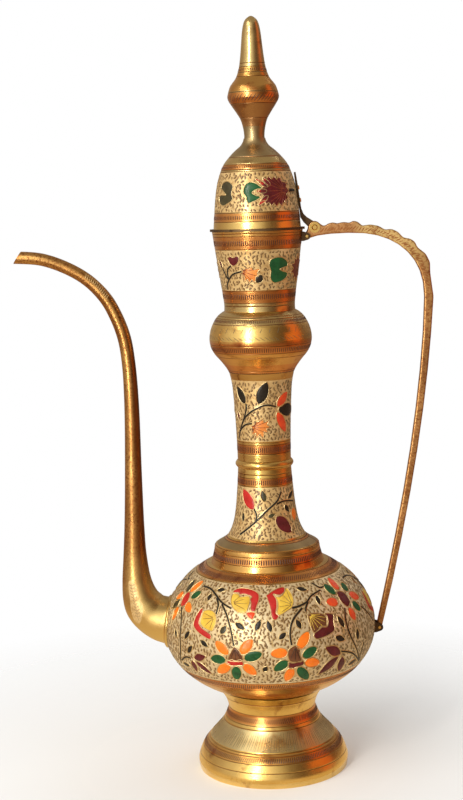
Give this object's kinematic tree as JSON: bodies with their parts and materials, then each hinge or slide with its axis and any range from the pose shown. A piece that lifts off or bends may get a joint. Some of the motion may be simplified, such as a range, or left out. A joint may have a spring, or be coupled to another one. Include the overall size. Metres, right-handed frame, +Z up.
{
  "type": "jug",
  "caption": "Tall brass ewer with a swan-neck spout, a flat scalloped handle, floral enamel bands and a domed lid that hinges open.",
  "frame": {"origin": "on the plane that the foot stands on, under the middle of the overall width from the spout's tip to the handle; the upright axis of the turned body is 28 mm from it towards +X", "axes": "+Z up from the foot to the finial, +X towards the handle, -X towards the spout, -Y is the front"},
  "size_m": [0.3365, 0.174, 0.61],
  "materials": {
    "polished_brass": "polished, engraved with fine bands",
    "enamelled_brass": "chased pale ground with coloured enamel flowers",
    "cast_brass": "cast, filed and engraved",
    "dark_brass": "tarnished, with solder"
  },
  "bodies": {
    "jug": {"foot": "polished_brass", "belly_lower": "enamelled_brass", "belly_upper": "enamelled_brass", "shoulder_collar": "polished_brass", "neck_lower": "enamelled_brass", "neck_ring": "polished_brass", "neck_upper": "enamelled_brass", "bulb_lower": "polished_brass", "bulb_upper": "polished_brass", "mouth_cup": "enamelled_brass", "spout": "polished_brass", "spout_collar": "polished_brass", "handle": "cast_brass", "handle_bracket": "dark_brass", "bracket_rivet": "polished_brass", "handle_lug": "dark_brass", "lug_rivet": "polished_brass", "hinge_pin": "polished_brass", "hinge_washer_front": "polished_brass", "hinge_washer_back": "polished_brass"},
    "lid": {"lid_flange": "polished_brass", "lid_collar": "polished_brass", "lid_dome": "enamelled_brass", "finial": "polished_brass", "finial_nut": "polished_brass", "hinge_strap": "cast_brass", "strap_rivet_lower": "polished_brass", "strap_rivet_upper": "polished_brass"}
  },
  "joints": [
    {"name": "lid_hinge", "type": "hinge", "parent": "jug", "child": "lid", "pos_m": [0.0737, 0, 0.4432], "axis": [0, 1, 0], "range_deg": [0, 95]}
  ]
}
